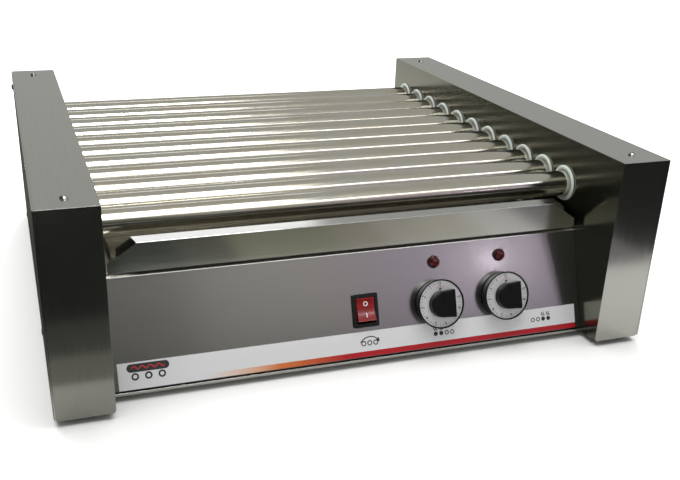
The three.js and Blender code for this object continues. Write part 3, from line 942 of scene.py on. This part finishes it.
def tray_flap():
    """The flap that hangs in front, its chamfered corners, and the lip folded back over it."""
    r = 0.9
    line = [(FLAP_Y + LIP_DEEP, FLAP_TOP + LIP_RISE), (FLAP_Y, FLAP_TOP), (FLAP_Y, FLAP_TOP - 4)]
    line = fillet(line, r, False, 5)[:-1]
    bm = bmesh.new()
    rows = []
    for k, (y, z) in enumerate(line):
        half = LIP_HALF if k else LIP_BACK_HALF
        rows.append((bm.verts.new((-half, y, z)), bm.verts.new((half, y, z))))
    for a, b in zip(rows, rows[1:]):
        bm.faces.new((a[0], a[1], b[1], b[0]))
    left, right = rows[-1]
    drop = [(FLAP_HALF, SHOULDER_Z), (FLAP_HALF, FLAP_LOW)]
    drop += [(-x, z) for x, z in reversed(drop)]
    bm.faces.new([left, right] + [bm.verts.new((x, FLAP_Y, z)) for x, z in drop])
    face_outward(bm)
    if sum(f.normal.z for f in bm.faces) < 0:
        bmesh.ops.reverse_faces(bm, faces=bm.faces)
    return pressed(bm, even=False)


def drip_tray():
    half_outline = [(226, PAN_RIM - 1.5), (225, 131.3), (LIP_BACK_HALF, FLAP_TOP + LIP_RISE - 0.9)]
    outline = half_outline + [(-x, z) for x, z in reversed(half_outline)]
    stand_up = Matrix.Rotation(pi / 2, 4, "X")
    riser = moved(placed(prism(outline, 0, 1), stand_up), 0, PAN_FRONT + 1, 0)
    # The pan and its riser take the darker stainless copy, which is painted shade.
    piece("drip_tray_pan", joined(tray_pan(), riser), tray_steel_painted_shade, body="drip_tray",
          soft=40)
    flap = tray_flap()
    flap.normal_update()
    piece("drip_tray_flap", flap, bright_sheet, body="drip_tray",
          stands_for=["drip_tray"], soft=50)


drip_tray()


# ---- base, deck and rear ----
cad_sheet("base_pan", brushed_x, 0.25)
cad_sheet("deck_plate", brushed_x, 0.25)
cad_sheet("rear_panel", brushed_x, 0.3)


def cable_gland():
    middle = node_middle("cord_gland")
    at = Matrix.Translation((middle.x, REAR_Y, middle.z))
    bore = 4.6
    sleeve = [(bore, -14), (6.6, -14), (7, -13.6), (7, 0.3), (12, 0.3), (12, 1.6), (9.4, 1.6), (9.4, 7)]
    for t in range(7):
        a = t / 6 * pi / 2
        sleeve.append((6.6 + 2.2 * cos(a), 7.5 + 12.0 * sin(a)))
    sleeve += [(bore + 0.4, 19.9), (bore, 19.5)]
    nut_tool = prism(circle(bore + 2.3, 40), -20, 20)
    inner_nut = carved(prism(circle(12.2, 6), -5.5, -1.5), prism(circle(7.1, 40), -9, 2))
    outer_nut = carved(prism(circle(11.9, 6), 1.7, 7.2), nut_tool)
    bm = joined(lathe(sleeve, 48, closed=True), inner_nut, outer_nut)
    piece("cord_gland_body", placed(placed(bm, ALONG_Y), at), black_plastic,
          stands_for=["cord_gland"])


def foot(k):
    x, y, _ = node_middle(f"foot_{k}")
    outer = [(0, 1.8), (3.7, 1.8), (4, 1.5), (4, 0.4), (4.4, 0), (11.0, 0), (11.5, 0.5), (11.4, 1.6),
             (10.6, 5.1), (10.1, 5.7), (3, 5.7), (3, 9.4), (2.6, 9.9), (0, 9.9)]
    piece(f"foot_{k}_rubber", moved(lathe(outer, 48), x, y, 0), rubber,
          stands_for=[f"foot_{k}"])
    turn = Matrix.Rotation(pi, 4, "X")
    head = moved(placed(screw_head(3.3, 1.4), turn), x, y, 1.8)
    piece(f"foot_{k}_screw", head, plated)


cable_gland()
for k in range(1, 5):
    foot(k)


# ---- drive: chain, motor and its sprocket ----
def chain_points():
    """Pin centres round the chain's closed path, one pitch apart."""
    wheels = [(ROLLER_AXES[0], pitch_radius(ROLLER_TEETH)), (MOTOR_AXIS, pitch_radius(MOTOR_TEETH)),
              (ROLLER_AXES[-1], pitch_radius(ROLLER_TEETH))]
    path = []

    def leaving(a, b):
        (pa, ra), (pb, rb) = a, b
        way = atan2(pb.z - pa.z, pb.y - pa.y)
        return way - pi / 2 + asin((ra - rb) / hypot(pb.y - pa.y, pb.z - pa.z))

    for k, wheel in enumerate(wheels):
        a0 = leaving(wheels[k - 1], wheel)
        a1 = leaving(wheel, wheels[(k + 1) % 3])
        while a1 < a0:
            a1 += 2 * pi
        steps = 24
        for j in range(steps + 1):
            a = a0 + (a1 - a0) * j / steps
            path.append(Vector((wheel[0].y + wheel[1] * cos(a), wheel[0].z + wheel[1] * sin(a))))
    lengths = [(path[(k + 1) % len(path)] - p).length for k, p in enumerate(path)]
    count = 2 * round(sum(lengths) / CHAIN_PITCH / 2)
    step = sum(lengths) / count
    points, along, leg = [], 0.0, 0
    for k in range(count):
        goal = k * step
        while along + lengths[leg] < goal:
            along += lengths[leg]
            leg += 1
        t = (goal - along) / lengths[leg]
        points.append(path[leg].lerp(path[(leg + 1) % len(path)], t))
    return points


def link_plate(length, wide, x0, x1):
    """A figure-eight plate between two pins, drawn along Y and thick along X."""
    end = circle(wide, 9, length, 0, -pi / 2, pi, True)
    start = circle(wide, 9, 0, 0, pi / 2, pi, True)
    waist = wide * 0.72
    outline = end + [(length / 2, waist)] + start + [(length / 2, -waist)]
    return placed(prism(outline, x0, x1), ALONG_X)


def drive_chain():
    points = chain_points()
    parts = []
    for k, p in enumerate(points):
        q = points[(k + 1) % len(points)]
        angle = atan2(q.y - p.y, q.x - p.x)
        at = Matrix.Translation((SPROCKET_X, p.x, p.y)) @ Matrix.Rotation(angle, 4, "X")
        reach = (q - p).length
        outer = k % 2
        x = 2.35 if outer else 1.75
        for side in (-1, 1):
            parts.append(placed(link_plate(reach, 2.3, side * x - 0.25, side * x + 0.25), at))
        pin = placed(prism(circle(0.95, 10), -2.8, 2.8), ALONG_X)
        parts.append(placed(joined(pin, placed(prism(circle(1.6, 12), -1.5, 1.5), ALONG_X)), at))
    piece("drive_chain_links", joined(*parts), oiled_steel,
          stands_for=["drive_chain"], soft=40)


def motor_sprocket():
    wheel = placed(sprocket(MOTOR_TEETH, 4.2, phase=pi / MOTOR_TEETH), ALONG_X)
    hub = [(4.0, -2), (7.2, -2), (7.5, -1.6), (7.5, 4.6), (7.2, 5), (4.0, 5)]
    hub = placed(lathe(hub, 40, True), ALONG_X)
    shaft = placed(lathe([(0, -6.5), (3.6, -6.5), (4, -6.1), (4, 12.5), (0, 12.5)], 40), ALONG_X)
    bm = joined(wheel, moved(hub, -4.6, 0, 0), shaft)
    piece("motor_sprocket_wheel", moved(bm, SPROCKET_X, MOTOR_AXIS.y, MOTOR_AXIS.z), oiled_steel,
          body="motor_sprocket", stands_for=["motor_sprocket"])


def gear_motor():
    y, z = MOTOR_AXIS.y, MOTOR_AXIS.z
    case = placed(prism(rounded_rect(-40, 40, -32, 33, 6), 260.4, 275.6), ALONG_X)
    lid = placed(prism(rounded_rect(-38, 38, -30, 31, 5), 260.0, 261.2), ALONG_X)
    bearing = [(4.3, 258.4), (9, 258.4), (9.5, 259), (9.5, 261), (4.3, 261)]
    bearing = placed(lathe(bearing, 40, True), ALONG_X)
    can = [(0, 275), (26.4, 275), (27, 275.6), (27, 279), (26.2, 279.4), (26.2, 286), (27, 286.4),
           (27, 288.4), (26, 289.4), (9, 289.4), (8, 288.6), (0, 288.6)]
    ribs = [placed(lathe(can, 72), ALONG_X)]
    for k in range(4):
        post_y, post_z = (-34 if k % 2 else 34), (-26 if k < 2 else 27)
        post = lathe([(0, 241.8), (4.2, 241.8), (4.5, 242.1), (4.5, 260.2), (0, 260.2)], 6)
        ribs.append(tinted(moved(placed(post, ALONG_X), 0, post_y, post_z), 1))
        nut = lathe([(0, 275.4), (3.8, 275.4), (3.8, 278), (3.3, 278.6), (0, 278.6)], 6)
        ribs.append(tinted(moved(placed(nut, ALONG_X), 0, post_y, post_z), 1))
    whole = joined(case, lid, bearing, *ribs)
    hole = placed(prism(circle(4.2, 40), 255, 268), ALONG_X)
    piece("gear_motor_body", moved(carved(whole, hole), 0, y, z), [motor_paint, plated],
          stands_for=["gear_motor"], edge=0.3)


drive_chain()
motor_sprocket()
gear_motor()


# ---- heating elements and wiring ----
WIRE_R = 1.3


def wire(name, points, material):
    """A smooth wire through the points, held to the frame."""
    curve = bpy.data.curves.new(name, "CURVE")
    curve.dimensions = "3D"
    curve.bevel_depth = WIRE_R * MM
    curve.bevel_resolution = 4
    curve.use_fill_caps = True
    spline = curve.splines.new("BEZIER")
    spline.bezier_points.add(len(points) - 1)
    for knot, p in zip(spline.bezier_points, points):
        knot.co = Vector(p) * MM
        knot.handle_left_type = "AUTO"
        knot.handle_right_type = "AUTO"
    curve.materials.append(material)
    settle(new_object(name, curve), "frame")


def heating_element(name, axis):
    """A sheathed rod through the roller, with an insulator and a terminal at each end."""
    rod = lathe([(0, -262), (4.2, -262), (4.2, 266), (0, 266)], 32)
    ends = []
    for side, at in ((-1, -262), (1, 266)):
        sleeve = [(0, 0), (5.6, 0), (6, 0.4), (6, 5), (4.4, 6), (4.4, 9), (0, 9)]
        tab = box(-2.4, 2.4, -0.4, 0.4, 8, 15)
        end = joined(tinted(lathe(sleeve, 32), 1), tinted(tab, 2))
        flip = Matrix.Rotation(pi, 4, "X") if side < 0 else Matrix.Identity(4)
        ends.append(moved(placed(end, flip), 0, 0, at))
    bm = placed(joined(rod, *ends), ALONG_X)
    piece(f"heating_element_{name}", moved(bm, 0, axis.y, axis.z), [oiled_steel, ceramic, plated])


def element_bar(side, word):
    """The upright strip that carries the element ends, with a notch for each one."""
    x0 = 268 if side > 0 else -267
    blank = box(x0, x0 + 1.2, -205, 256, 124, 170)
    holes = [placed(prism(circle(4.5, 24, a.y, a.z), x0 - 3, x0 + 4), ALONG_X) for a in ROLLER_AXES]
    foot_strip = box(x0 if side > 0 else x0 - 9, x0 + 10 if side > 0 else x0 + 1.2, -205, 256, 124, 125.2)
    piece(f"element_bar_{word}", joined(carved(blank, *holes), foot_strip), plated, edge=0.2)


for name, axis in zip(ROLLER_NAMES, ROLLER_AXES):
    heating_element(name, axis)
for side, word in SIDES:
    element_bar(side, word)


def thermostat(k, x):
    can = [(4.6, -9.5), (8, -9.5), (8, -11), (16.6, -11), (17, -11.4), (17, -24), (16, -26.5), (14, -30),
           (4.6, -30)]
    parts = [carved(lathe(can, 56, True), prism(circle(4.5, 24), -40, 0))]
    parts.append(tinted(carved(prism(rounded_rect(-14, 14, -22, 22, 3), -11.4, -10.2),
                               prism(circle(4.6, 24), -20, 0)), 1))
    for at in (-9, 9):
        parts.append(tinted(box(at - 3.1, at + 3.1, -14, -13.2, -39, -27), 1))
    collar = [(3.2, -10), (4.1, -10), (4.1, -1.5), (3.2, -1.5)]
    parts.append(tinted(lathe(collar, 32, True), 1))
    piece(f"thermostat_{k}_case", placed(joined(*parts), on_panel(x, KNOB_S)), [ceramic, plated],
          stands_for=[f"thermostat_{k}"])


for k, x in enumerate(KNOB_X):
    thermostat(k + 1, x)


def terminal_block():
    x, y, _ = node_middle("terminal_block")
    z = node_box("terminal_block")[0].z
    body = box(-32, 32, -12, 12, 0, 14)
    tools = [prism(rounded_rect(-27 + i * 15, -18 + i * 15, -10, 10, 1), 9, 22) for i in range(4)]
    parts = [carved(body, *tools), box(-38, -31, -7, 7, 0, 3), box(31, 38, -7, 7, 0, 3)]
    for i in range(4):
        parts.append(tinted(box(-26 + i * 15, -19 + i * 15, -9, 9, 8.6, 10), 1))
        for s in (-5, 5):
            head = screw_head(2.3, 1.5)
            parts.append(tinted(moved(head, -22.5 + i * 15, s, 10), 1))
    piece("terminal_block_body", moved(joined(*parts), x, y, z), [black_plastic, copper],
          stands_for=["terminal_block"])
    return x, y, z


BLOCK_X, BLOCK_Y, BLOCK_Z = terminal_block()


def wires():
    for k, x in enumerate(KNOB_X):
        back = on_panel(x - 9, KNOB_S - 13.6, -37) @ Vector((0, 0, 0))
        end = (BLOCK_X - 22.5 + 15 * k, BLOCK_Y - 12, BLOCK_Z + 10.5)
        middle = [(back.x - 20, back.y + 30, 22), (0, 40, 15 + 5 * k), (BLOCK_X + 20, 110, 14 + 5 * k)]
        wire(f"wire_thermostat_{k + 1}", [tuple(back), *middle, end], wire_red if k else wire_black)
    tab = on_panel(ROCKER_X - 4, ROCKER_S, -26) @ Vector((0, 0, 0))
    end = (BLOCK_X + 7.5, BLOCK_Y - 12, BLOCK_Z + 10.5)
    wire("wire_switch", [tuple(tab), (tab.x - 10, tab.y + 25, 30), (-60, 60, 14), end], wire_black)


wires()


# ---- camera, floor and light ----
def camera():
    data = bpy.data.cameras.new("camera")
    data.sensor_width = 36
    data.lens = 47.946
    data.shift_x = 0.02588
    data.shift_y = 0.06016
    obj = new_object("camera", data)
    obj.location = (-0.29938, -0.95279, 0.43057)
    obj.rotation_euler = [radians(a) for a in (65.985, -1.656, -18.884)]
    scene.camera = obj


def card(name, corners, colour, strength=0.0, is_floor=False):
    """A flat staged sheet. Only reflections see it, except the floor, which all else sees."""
    mesh = bpy.data.meshes.new(name)
    mesh.from_pydata(corners, [], [range(len(corners))])
    if strength:
        material, _, bsdf = shader(name, (0, 0, 0), 1.0, Specular_IOR_Level=0.0)
        bsdf.inputs["Emission Color"].default_value = (*colour, 1)
        bsdf.inputs["Emission Strength"].default_value = strength
    else:
        material = shader(name, colour, 0.9, Specular_IOR_Level=0.1)[0]
    mesh.materials.append(material)
    obj = new_object(name, mesh)
    obj.visible_glossy = not is_floor
    obj.visible_camera = is_floor
    obj.visible_diffuse = is_floor
    obj.visible_shadow = is_floor
    obj.visible_transmission = is_floor


def area(name, at, aim, size, power):
    """A soft light that reflections don't show."""
    data = bpy.data.lights.new(name, "AREA")
    data.shape = "RECTANGLE"
    data.size, data.size_y = size
    data.energy = power
    obj = new_object(name, data)
    obj.location = at
    obj.rotation_euler = (Vector(aim) - Vector(at)).to_track_quat("-Z", "Y").to_euler()
    obj.visible_glossy = False


def flat(x0, x1, y0, y1, z):
    return [(x0, y0, z), (x1, y0, z), (x1, y1, z), (x0, y1, z)]


def upright(x0, x1, y, z0, z1):
    return [(x0, y, z0), (x1, y, z0), (x1, y, z1), (x0, y, z1)]


def studio():
    scene.view_settings.view_transform = "Standard"
    world = bpy.data.worlds.new("world")
    world.use_nodes = True
    background = world.node_tree.nodes["Background"].inputs
    background["Color"].default_value = (0.97, 0.98, 0.93, 1)
    background["Strength"].default_value = 0.42
    scene.world = world
    card("floor", flat(-8, 8, -8, 8, 0), (0.90, 0.90, 0.90), is_floor=True)
    card("floor_mirrored", flat(-8, 8, -8, 8, 0.0003), (0.43, 0.43, 0.41))
    edge = 0.0006
    soot = (0.005, 0.006, 0.0045)
    left, peak, bend = -0.28, 0.26, 0.45
    card("dark_counter_left", flat(-3, left, -1.05, -0.40, edge), soot)
    card("dark_counter_middle", flat(left, peak, -1.6, -0.45, edge), soot)
    card("dark_counter_right", [(peak, -2.55, edge), (3, -2.55, edge), (3, -0.40, edge),
                                (0.62, -0.40, edge), (bend, -0.47, edge), (peak, -0.47, edge)], soot)
    card("dark_counter_side", flat(-3, -0.293, -0.268, 3, edge), (0.04, 0.042, 0.036))
    # The counter lightens from left to right in front of the flap, and towards the left tower.
    over = edge + 0.0003
    steps = (-0.20, -0.12, -0.05, 0.09, 0.15, 0.21, 0.29, 0.37, bend)
    tones = ((0.022, 0.026, 0.02), (0.05, 0.05, 0.04), (0.13, 0.13, 0.09), (0.165, 0.155, 0.125),
             (0.23, 0.22, 0.19), (0.27, 0.26, 0.22), (0.34, 0.335, 0.32), (0.11, 0.105, 0.11))
    for k, tone in enumerate(tones):
        card(f"counter_tone_{k + 1}", flat(steps[k], steps[k + 1], -0.62, -0.45, over), tone)
    card("counter_foot_far", flat(-0.36, -0.20, -0.47, -0.395, over), (0.03, 0.032, 0.028))
    card("counter_foot_middle", flat(-0.36, -0.20, -0.395, -0.34, over), (0.10, 0.10, 0.085))
    card("counter_foot_near", flat(-0.36, -0.20, -0.34, -0.272, over), (0.27, 0.27, 0.25))
    card("dark_front_left", upright(-4, -0.70, -2.56, 0.0, 2.6), (0.02, 0.022, 0.018))
    card("dark_room", upright(-4, 4, -2.6, 0.0, 0.50), (0.03, 0.032, 0.03))
    card("front_wall_left", upright(-2.2, 0.25, -2.58, 0.50, 1.9), (1.0, 0.99, 0.88), strength=0.12)
    card("front_wall_middle", upright(0.25, 0.9, -2.58, 0.46, 1.9), (1.0, 0.97, 0.90), strength=0.34)
    card("front_wall_right", upright(0.9, 2.0, -2.58, 0.42, 1.9), (1.0, 0.87, 1.10), strength=0.34)
    card("glow_card", upright(1.395, 1.455, -2.5, 0.665, 0.715), (1.0, 0.88, 1.0), strength=24.0)
    card("brow_card_left", upright(-1.2, 0.9, -2.57, 1.55, 2.4), (1, 1, 1), strength=2.0)
    card("brow_card_right", upright(0.9, 2.6, -2.57, 1.62, 1.78), (1, 1, 1), strength=1.5)
    card("lip_card", [(-0.25, 0.61, 1.2), (0.40, 0.61, 1.2), (0.40, 0.74, 1.2), (-0.25, 0.74, 1.2)],
         (1, 1, 1), strength=1.9)
    card("dark_left", [(-0.95, -0.9, 0.28), (-0.95, 4, 0.28), (-0.95, 4, 2.4), (-0.95, -0.9, 2.4)],
         (0.02, 0.022, 0.018))
    card("key_card", [(-0.42, -1.15, 1.15), (0.30, -1.15, 1.15), (0.30, -0.62, 1.55), (-0.42, -0.62, 1.55)],
         (1, 1, 0.98), strength=9.0)
    card("strip_card", [(0.45, -1.60, 1.32), (2.2, -1.60, 1.32), (2.2, -1.50, 1.45), (0.45, -1.50, 1.45)],
         (1, 1, 1), strength=4.5)
    area("top_light", (0, 0.3, 2.4), (0, 0.1, 0), (3.0, 3.0), 95)
    area("back_light", (1.2, 4.6, 3.0), (1.2, 4.6, 0), (7.0, 4.0), 420)


camera()
studio()
